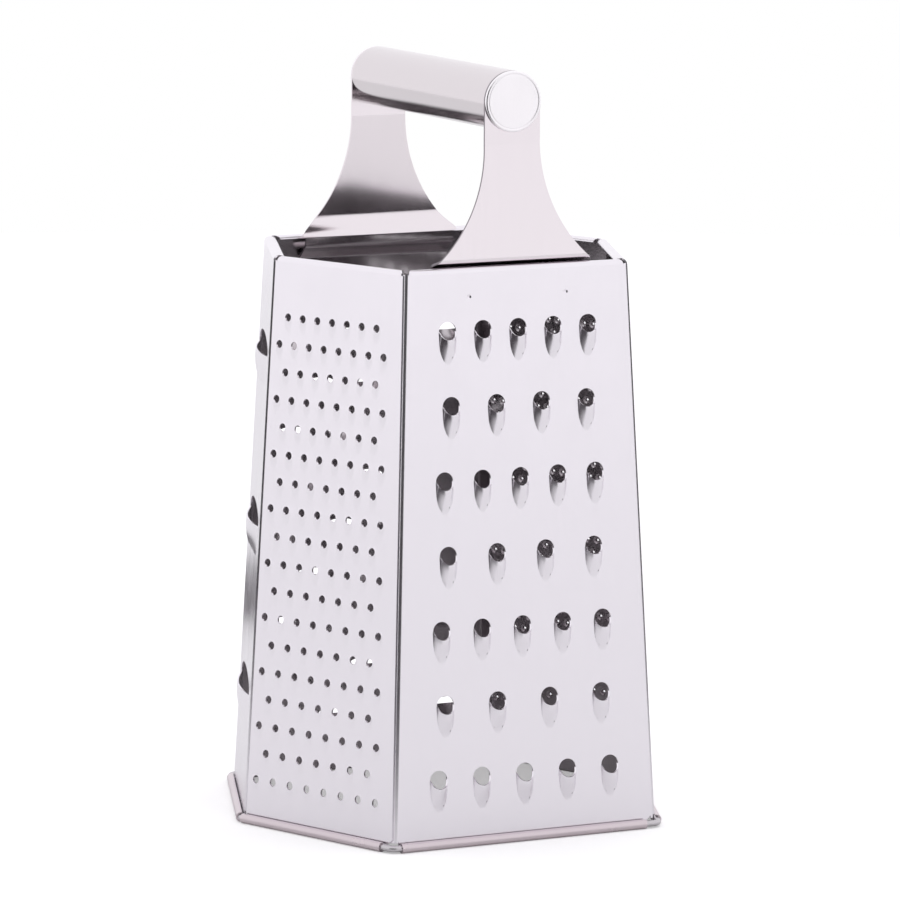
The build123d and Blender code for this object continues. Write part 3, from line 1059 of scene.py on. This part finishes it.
@dataclass
class Handle:
    """Tube handle between two stamped arms, with a cap on each end; in millimetres."""

    body: BodyShape
    total_height: float = 240.0
    tube_radius: float = 9.5
    tube_wall: float = 0.8
    half_length: float = 49.75
    cap_thickness: float = 1.0
    cap_rounding: float = 0.5
    ring_inset: float = 0.25
    ring_width: float = 0.3
    ring_depth: float = 0.12
    arm_sheet: float = 0.8
    base_half_width: float = 27.4
    tab_half_width: float = 26.4
    neck_share: float = 0.73
    front_step: ArmStep = ArmStep(1.5, 1.2, 72.0, 0.6, 0.42, 0.42)
    rear_step: ArmStep = ArmStep(2.9, 3.4, 34.0, 1.6, 0.6, 0.25)
    shoulder_drop: float = 0.9
    bend_radius: float = 2.0
    jog_drop: float = 3.5
    pad_drop: float = 7.5
    pad_height: float = 7.5
    shoulder_step: float = 0.01
    edge_width: float = 0.15
    edge_segments: int = 2
    edge_angle: float = 50.0
    arm_columns: int = 12
    flare_rows: int = 24
    head_rows: int = 14
    bend_row_angle: float = 7.0
    straight: float = 1e-4
    arm_smooth_angle: float = 30.0
    tube_sides: int = 128
    tube_smooth_angle: float = 40.0
    cap_sides: int = 96
    cap_segments: int = 6
    cap_smooth_angle: float = 35.0

    @property
    def axis_height(self) -> float:
        """Height of the tube's middle line."""
        return self.total_height - self.tube_radius

    def side_line(self, shape: ArmStep) -> tuple[list[tuple[float, float]], list[float]]:
        """Work out an arm's outer side.

        Args:
            shape: Step of the arm.

        Returns:
            The bend points as depth and height, from the head down to the pad, and their radii.
        """
        body = self.body
        lean = (body.foot_half_depth - body.rim_half_depth) / body.rim_height
        head = self.half_length - self.cap_thickness
        base = body.rim_half_depth - shape.setback
        tab = body.rim_half_depth - body.lip_width - shape.clearance
        base_height = body.rim_height + shape.rise
        neck = base_height + (self.axis_height - base_height) * self.neck_share
        step = base_height - (base - tab) / math.tan(math.radians(shape.angle))
        jog = body.rim_height - self.jog_drop
        pad_top = body.rim_height - self.pad_drop
        pad_low = pad_top - self.pad_height
        inner = body.sheet / math.cos(math.atan(lean))

        def depth(height: float) -> float:
            """Half depth of the body at a height."""
            return body.foot_half_depth - lean * height

        points = [
            (-head, self.total_height), (-head, neck), (-base, base_height), (-tab, step),
            (-tab - lean * (step - jog), jog), (inner - depth(pad_top), pad_top), (inner - depth(pad_low), pad_low),
        ]
        step_length = (Vector(points[3]) - Vector(points[2])).length
        full_radius = step_length / math.tan(math.radians(shape.angle) / 2)
        base_radius, tab_radius = shape.base_bend_share * full_radius, shape.tab_bend_share * full_radius
        return points, [0, self.bend_radius, base_radius, tab_radius, self.bend_radius, self.bend_radius, 0]

    def rounded_line(self, shape: ArmStep) -> list[tuple[float, float]]:
        """Round the bends of an arm's outer side.

        Args:
            shape: Step of the arm.

        Returns:
            Points as depth and height, from the head down.
        """
        points, radii = self.side_line(shape)
        line = [points[0]]
        for place in range(1, len(points) - 1):
            here, before, after = (Vector(points[place + step]) for step in (0, -1, 1))
            back, onward = (before - here).normalized(), (after - here).normalized()
            half = back.angle(onward) / 2
            if radii[place] == 0 or abs(half - math.pi / 2) < self.straight:
                line.append(tuple(here))
                continue
            reach = radii[place] / math.tan(half)
            middle = here + (back + onward).normalized() * (radii[place] / math.sin(half))
            start, end = here + back * reach - middle, here + onward * reach - middle
            steps = max(3, math.ceil(math.degrees(math.pi - 2 * half) / self.bend_row_angle))
            line += [tuple(point) for point in arc(middle, start, end, steps)]
        line.append(points[-1])
        return line

    def half_width_at(self, shape: ArmStep, height: float) -> float:
        """Half width of the arm at a height.

        Args:
            shape: Step of the arm.
            height: Height over the floor.

        Returns:
            The half width.
        """
        points, _ = self.side_line(shape)
        neck, step = points[1][1], points[3][1]
        shoulder = step - self.shoulder_drop
        if height >= self.axis_height:
            over = min(height - self.axis_height, self.tube_radius)
            return math.sqrt(max(0.0, self.tube_radius**2 - over**2))
        if height >= neck:
            return self.tube_radius
        if height >= step:
            return self.flare(height, neck, step)
        if height >= shoulder:
            return self.base_half_width
        return self.tab_half_width

    def flare(self, height: float, neck: float, step: float) -> float:
        """Half width on the hollow arc that widens from the neck to the base.

        Args:
            height: Height over the floor.
            neck: Height at which the arc begins.
            step: Height at which it ends.

        Returns:
            The half width.
        """
        run, drop = self.base_half_width - self.tube_radius, neck - step
        radius = (run**2 + drop**2) / (2 * run)
        return self.tube_radius + radius - math.sqrt(radius**2 - (neck - height)**2)

    def build_arm(self, name: str, node: str, rear: bool) -> bpy.types.Object:
        """Model one arm from a grid bent along its side line.

        Args:
            name: Name of the piece.
            node: CAD node that it stands for.
            rear: True for the arm at the back.

        Returns:
            The arm.
        """
        shape = self.rear_step if rear else self.front_step
        profile = self.rounded_line(shape)
        heights = self.row_heights(shape, profile)
        deselect_all()
        bpy.ops.mesh.primitive_grid_add(x_subdivisions=self.arm_columns, y_subdivisions=len(heights) - 1, size=2)
        arm = bpy.context.object
        for vertex in arm.data.vertices:
            row, column = divmod(vertex.index, self.arm_columns + 1)
            height, depth, width = heights[row]
            share = 2 * column / self.arm_columns - 1
            vertex.co = Vector((width * share, depth, height)) * MM
        merge_doubles(arm, SEAM_DISTANCE)
        bpy.ops.object.mode_set(mode="EDIT")
        bpy.ops.mesh.select_all(action="SELECT")
        bpy.ops.mesh.normals_make_consistent(inside=False)
        bpy.ops.object.mode_set(mode="OBJECT")
        if max(arm.data.polygons, key=lambda f: f.area).normal.y > 0:
            arm.data.flip_normals()
        arm.data.materials.append(Finish.ARM.made())
        arm.data.materials.append(Finish.EDGE.made())
        thicken(arm, self.arm_sheet, inner_slot=0, rim_slot=0 if rear else 1)
        make_active(arm)
        edge = arm.modifiers.new("edge", "BEVEL")
        edge.width = self.edge_width * MM
        edge.segments = self.edge_segments
        edge.limit_method = "ANGLE"
        edge.angle_limit = math.radians(self.edge_angle)
        bpy.ops.object.modifier_apply(modifier=edge.name)
        if rear:
            arm.data.transform(Matrix.Rotation(math.pi, 4, "Z"))
        smooth(arm, self.arm_smooth_angle)
        keep_flats(arm)
        arm.name = name
        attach(arm, "root")
        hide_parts(node)
        LOG.info("%s: %d faces", name, len(arm.data.polygons))
        return arm

    def row_heights(
        self, shape: ArmStep, profile: list[tuple[float, float]],
    ) -> list[tuple[float, float, float]]:
        """Rows of the arm: height, depth and half width, from the pad up to the head.

        Args:
            shape: Step of the arm.
            profile: Side line of the arm.

        Returns:
            The rows, lowest first.
        """
        points, _ = self.side_line(shape)
        neck, step = points[1][1], points[3][1]
        shoulder = step - self.shoulder_drop
        wanted = [height for _, height in profile]
        wanted += [step + (neck - step) * share / self.flare_rows for share in range(self.flare_rows + 1)]
        for share in range(self.head_rows + 1):
            wanted.append(self.axis_height + self.tube_radius * math.sin(math.pi / 2 * share / self.head_rows))
        wanted += [shoulder, shoulder - self.shoulder_step]
        rows = []
        for height in sorted(set(round(value, 4) for value in wanted)):
            rows.append((height, self.depth_at(profile, height), self.half_width_at(shape, height)))
        return rows

    @staticmethod
    def depth_at(profile: list[tuple[float, float]], height: float) -> float:
        """Depth of the side line at a height.

        Args:
            profile: Side line as depth and height, from the head down.
            height: Height over the floor.

        Returns:
            The depth.
        """
        for (y1, z1), (y2, z2) in zip(profile, profile[1:]):
            if min(z1, z2) <= height <= max(z1, z2) and abs(z1 - z2) > 1e-9:
                return y1 + (y2 - y1) * (height - z1) / (z2 - z1)
        return profile[-1][0] if height < profile[-1][1] else profile[0][0]

    def build_tube(self) -> bpy.types.Object:
        """Model the hollow grip.

        Returns:
            The tube.
        """
        deselect_all()
        length = 2 * (self.half_length - self.cap_thickness - self.arm_sheet)
        bpy.ops.mesh.primitive_cylinder_add(
            vertices=self.tube_sides, radius=self.tube_radius * MM, depth=length * MM, end_fill_type="NOTHING",
            location=(0, 0, self.axis_height * MM), rotation=(math.pi / 2, 0, 0),
        )
        tube = bpy.context.object
        bpy.ops.object.transform_apply(location=True, rotation=True, scale=True)
        bpy.ops.object.mode_set(mode="EDIT")
        bpy.ops.mesh.select_all(action="SELECT")
        bpy.ops.mesh.subdivide(number_cuts=1)
        bpy.ops.object.mode_set(mode="OBJECT")
        tube.data.materials.append(Finish.TUBE.made())
        thicken(tube, self.tube_wall, inner_slot=0)
        smooth(tube, self.tube_smooth_angle)
        tube.name = "grip_tube"
        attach(tube, "root")
        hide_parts("handle_tube")
        LOG.info("%s: %d faces", tube.name, len(tube.data.polygons))
        return tube

    def build_cap(self, name: str, node: str, rear: bool) -> bpy.types.Object:
        """Model one end cap: a shallow pressed disc with a rounded rim.

        Args:
            name: Name of the piece.
            node: CAD node that it stands for.
            rear: True for the cap at the back.

        Returns:
            The cap.
        """
        deselect_all()
        middle = self.half_length - self.cap_thickness / 2
        bpy.ops.mesh.primitive_cylinder_add(
            vertices=self.cap_sides, radius=self.tube_radius * MM, depth=self.cap_thickness * MM,
            location=Vector((0, -middle, self.axis_height)) * MM, rotation=(math.pi / 2, 0, 0),
        )
        cap = bpy.context.object
        bpy.ops.object.transform_apply(location=True, rotation=True, scale=True)
        bpy.ops.object.mode_set(mode="EDIT")
        front = -self.half_length * MM
        select_in_edit(cap, "edges", lambda e: all(abs(v.co.y - front) < ON_FACE for v in e.verts))
        bpy.ops.mesh.bevel(offset=self.cap_rounding * MM, segments=self.cap_segments, profile=0.5)
        select_in_edit(cap, "faces", lambda f: len(f.verts) > 4 and abs(f.calc_center_median().y - front) < ON_FACE)
        bpy.ops.mesh.inset(thickness=self.ring_inset * MM)
        bpy.ops.mesh.inset(thickness=self.ring_width * MM, depth=-self.ring_depth * MM)
        bpy.ops.mesh.inset(thickness=self.ring_width * MM, depth=self.ring_depth * MM)
        bpy.ops.object.mode_set(mode="OBJECT")
        cap.data.materials.append(Finish.CAP.made())
        if rear:
            cap.data.transform(Matrix.Rotation(math.pi, 4, "Z"))
        smooth(cap, self.cap_smooth_angle)
        keep_flats(cap)
        cap.name = name
        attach(cap, "root")
        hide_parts(node)
        LOG.info("%s: %d faces", name, len(cap.data.polygons))
        return cap


@dataclass
class Studio:
    """White floor, pale surroundings that light the steel, and the camera; lengths in metres, angles in degrees.

    Two sectors of the floor are dark to reflections alone, and one sector of the surroundings, up to
    dark_top, is dark to all but the camera. They give the steel the dark bands that black cards would.
    """

    floor_radius: float = 1.6
    floor_sides: int = 96
    paper: str = "#F4F4F4"
    paper_glow: float = 0.3
    air: str = "#FBFAFD"
    camera_place: tuple[float, float, float] = (-0.814533, -1.676597, 0.400443)
    camera_forward: tuple[float, float, float] = (0.43313696, 0.88851174, -0.1514571)
    camera_roll: float = 0.2506
    camera_lens: float = 236.528
    sensor: float = 36.0
    view_reach: float = 50.0
    dark_heading: float = -42.0
    dark_half_width: float = 40.0
    dark_edge: float = 6.0
    dark_near: float = 0.16
    dark_far: float = 0.36
    dark_floor: str = "#3A3539"
    back_heading: float = 180.0
    back_half_width: float = 11.0
    back_near: float = 0.36
    back_far: float = 0.5
    back_edge: float = 0.02
    dark_top: float = 36.0
    bright: float = 1.05
    dark: float = 0.08

    def dark_sector(
        self, sheet: NodeSheet, direction: bpy.types.NodeSocket, turned: float, half_width: float,
    ) -> bpy.types.NodeSocket:
        """Mask of a dark sector of the room.

        Args:
            sheet: Nodes to add to.
            direction: Direction or place, seen from the middle of the floor.
            turned: Heading of the sector's middle in degrees, from the front towards the right.
            half_width: Half its angle in degrees.

        Returns:
            A value of one inside the sector and zero outside.
        """
        level = sheet.add("ShaderNodeVectorMath", {"operation": "MULTIPLY"}, i0=direction, i1=(1, 1, 0))
        heading = sheet.add("ShaderNodeVectorMath", {"operation": "NORMALIZE"}, i0=level.outputs["Vector"])
        middle = math.radians(turned)
        aim = sheet.add(
            "ShaderNodeVectorMath", {"operation": "DOT_PRODUCT"}, i0=heading.outputs["Vector"],
            i1=(math.sin(middle), -math.cos(middle), 0),
        )
        beside = sheet.add(
            "ShaderNodeMapRange", {"interpolation_type": "SMOOTHSTEP"}, Value=aim.outputs["Value"],
            From_Min=math.cos(math.radians(half_width + self.dark_edge)),
            From_Max=math.cos(math.radians(half_width - self.dark_edge)), To_Min=0.0, To_Max=1.0,
        )
        return beside.outputs["Result"]

    def build_floor(self) -> None:
        """Lay the white floor, dark only to reflections in the dark sector."""
        deselect_all()
        bpy.ops.mesh.primitive_circle_add(vertices=self.floor_sides, radius=self.floor_radius, fill_type="NGON")
        floor = bpy.context.object
        floor.name = "paper_floor"
        paper = bpy.data.materials.new("matt_white_paper")
        paper.use_nodes = True
        paper.node_tree.nodes.clear()
        sheet = NodeSheet(paper.node_tree)
        diffuse = sheet.add("ShaderNodeBsdfDiffuse", Color=linear(self.paper))
        glow = sheet.add("ShaderNodeEmission", Color=(1, 1, 1, 1), Strength=self.paper_glow)
        both = sheet.add("ShaderNodeAddShader", i0=diffuse.outputs[0], i1=glow.outputs[0])
        rays = sheet.add("ShaderNodeLightPath")
        place = sheet.add("ShaderNodeTexCoord").outputs["Object"]
        away = sheet.add("ShaderNodeVectorMath", {"operation": "LENGTH"}, i0=place).outputs["Value"]
        beyond = sheet.add(
            "ShaderNodeMapRange", {"interpolation_type": "SMOOTHSTEP"}, Value=away,
            From_Min=self.dark_near, From_Max=self.dark_far, To_Min=0.0, To_Max=1.0,
        )
        card = sheet.add(
            "ShaderNodeMath", {"operation": "MULTIPLY"},
            i0=self.dark_sector(sheet, place, self.dark_heading, self.dark_half_width), i1=beyond.outputs["Result"],
        )
        within = sheet.add(
            "ShaderNodeMapRange", {"interpolation_type": "SMOOTHSTEP"}, Value=away,
            From_Min=self.back_far - self.back_edge, From_Max=self.back_far + self.back_edge, To_Min=1.0, To_Max=0.0,
        )
        outside = sheet.add(
            "ShaderNodeMapRange", {"interpolation_type": "SMOOTHSTEP"}, Value=away,
            From_Min=self.back_near - self.back_edge, From_Max=self.back_near + self.back_edge, To_Min=0.0, To_Max=1.0,
        )
        band = sheet.add(
            "ShaderNodeMath", {"operation": "MULTIPLY"}, i0=within.outputs["Result"], i1=outside.outputs["Result"])
        back = sheet.add(
            "ShaderNodeMath", {"operation": "MULTIPLY"},
            i0=self.dark_sector(sheet, place, self.back_heading, self.back_half_width), i1=band.outputs["Value"],
        )
        cards = sheet.add("ShaderNodeMath", {"operation": "MAXIMUM"}, i0=card.outputs[0], i1=back.outputs[0])
        mirrored = sheet.add(
            "ShaderNodeMath", {"operation": "MULTIPLY"}, i0=cards.outputs["Value"], i1=rays.outputs["Is Glossy Ray"])
        shaded = sheet.add("ShaderNodeBsdfDiffuse", Color=linear(self.dark_floor))
        lit = sheet.add(
            "ShaderNodeMixShader", i0=mirrored.outputs["Value"], i1=diffuse.outputs[0], i2=shaded.outputs[0])
        pick = sheet.add(
            "ShaderNodeMixShader", i0=rays.outputs["Is Camera Ray"], i1=lit.outputs[0], i2=both.outputs[0],
        )
        sheet.add("ShaderNodeOutputMaterial", Surface=pick.outputs[0])
        floor.data.materials.append(paper)

    def build_world(self) -> None:
        """Give the studio its pale surroundings: white to the camera, softly graded to the steel."""
        world = bpy.data.worlds.new("pale_studio")
        bpy.context.scene.world = world
        world.use_nodes = True
        world.node_tree.nodes.clear()
        sheet = NodeSheet(world.node_tree)
        direction = sheet.add("ShaderNodeTexCoord").outputs["Generated"]
        beside = self.dark_sector(sheet, direction, self.dark_heading, self.dark_half_width)
        height = sheet.add("ShaderNodeSeparateXYZ", Vector=direction).outputs["Z"]
        below = sheet.add(
            "ShaderNodeMapRange", {"interpolation_type": "SMOOTHSTEP"}, Value=height,
            From_Min=math.sin(math.radians(self.dark_top - self.dark_edge)),
            From_Max=math.sin(math.radians(self.dark_top + self.dark_edge)), To_Min=1.0, To_Max=0.0,
        )
        both = sheet.add(
            "ShaderNodeMath", {"operation": "MULTIPLY"}, i0=beside, i1=below.outputs["Result"])
        shade = sheet.add(
            "ShaderNodeMapRange", Value=both.outputs["Value"], To_Min=self.bright, To_Max=self.dark)
        graded = sheet.add(
            "ShaderNodeBackground", Color=linear(self.air), Strength=shade.outputs["Result"])
        white = sheet.add("ShaderNodeBackground", Color=(1, 1, 1, 1), Strength=1.0)
        rays = sheet.add("ShaderNodeLightPath")
        pick = sheet.add(
            "ShaderNodeMixShader", i0=rays.outputs["Is Camera Ray"], i1=graded.outputs[0], i2=white.outputs[0],
        )
        sheet.add("ShaderNodeOutputWorld", Surface=pick.outputs[0])

    def build_camera(self) -> None:
        """Place the camera where the photograph was taken from."""
        forward = Vector(self.camera_forward).normalized()
        right = forward.cross(Vector((0, 0, 1))).normalized()
        up = right.cross(forward)
        roll = math.radians(self.camera_roll)
        rolled_right = right * math.cos(roll) + up * math.sin(roll)
        rolled_up = up * math.cos(roll) - right * math.sin(roll)
        lens = bpy.data.cameras.new("photo_camera")
        lens.lens = self.camera_lens
        lens.sensor_width = self.sensor
        lens.clip_end = self.view_reach
        camera = bpy.data.objects.new("photo_camera", lens)
        camera.matrix_world = Matrix.Translation(self.camera_place) @ Matrix(
            (rolled_right, rolled_up, -forward)).transposed().to_4x4()
        bpy.context.scene.collection.objects.link(camera)
        bpy.context.scene.camera = camera

    def build(self) -> None:
        """Set up the whole studio."""
        bpy.context.scene.view_settings.view_transform = "Standard"
        self.build_floor()
        self.build_world()
        self.build_camera()


@dataclass
class BoxGrater:
    """All pieces of the grater in the order in which they are made, and the weld marks on its front."""

    body: BodyShape = field(default_factory=BodyShape)
    weld_height: float = 171.0
    weld_places: tuple[float, float] = (-16.7, 16.7)

    def panels(self) -> list[SheetPanel]:
        """Set out the teeth on each wall.

        Returns:
            The six walls with their teeth.
        """
        coarse = Scoop(2.95, 2.95, 2.7, 1.9, 10.3, 1.3, 1.4, fade=1.6, level=1.5, taper=4.0)
        medium = Scoop(2.2, 2.2, 2.2, 1.0, 7.5, 1.0, 1.0, across=10, along=8)
        ribbon = Scoop(
            5.5, 2.2, 0.8, 1.9, 6.0, 4.2, 1.5, fade=1.5, level=1.0, taper=1.0, crown=1.6, across=16, along=8,
        )
        slicer = Scoop(22.5, 5.0, 0.6, 2.5, 11.0, 21.0, 1.5, fade=0.8, level=3.0, crown=2.6, tail_crown=3.0, across=32)
        fine = Prick(1.3, 2.1, 0.2, 14, 1.0, 3.0)
        zester = Prick(0.9, 1.5, 0.95, 8, 0.0, 0.0, jag=0.55)
        rows = {
            Side.COARSE: (coarse, ToothRows(160.7, 23.2, 7, 5, 15.0, 16.8)),
            Side.MEDIUM: (medium, ToothRows(158.0, 11.0, 14, 6, 10.5, 10.5)),
            Side.ZESTER: (zester, ToothRows(164.0, 4.2, 37, 13, 6.0, 6.0)),
            Side.RIBBON: (ribbon, ToothRows(146.0, 15.8, 9, 4, 13.5, 13.5)),
            Side.SLICER: (slicer, ToothRows(147.5, 54.2, 3, 1, 0.0, 0.0)),
            Side.FINE: (fine, ToothRows(161.3, 8.64, 18, 8, 6.35, 6.35, 1.9, True)),
        }
        found = []
        for side in Side:
            wall = Wall(side, self.body)
            tooth, pattern = rows[side]
            teeth = [(tooth, pattern.places(wall))]
            if side is Side.COARSE:
                teeth.append((Dimple(), [(x, wall.height_y(self.weld_height)) for x in self.weld_places]))
            found.append(SheetPanel(wall, teeth, f"{side.title}_panel"))
        return found

    def build(self) -> None:
        """Make every piece."""
        for panel in self.panels():
            panel.build()
        FootWire(self.body).build()
        handle = Handle(self.body)
        handle.build_arm("front_arm_plate", "front_arm", False)
        handle.build_arm("rear_arm_plate", "rear_arm", True)
        handle.build_tube()
        handle.build_cap("front_cap_disc", "front_end_cap", False)
        handle.build_cap("rear_cap_disc", "rear_end_cap", True)


def main() -> None:
    """Load the frame, dress it and set up the studio."""
    logging.basicConfig(level=logging.INFO, format="%(message)s")
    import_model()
    BoxGrater().build()
    Studio().build()
    bpy.context.view_layer.update()


if __name__ == "__main__":
    main()
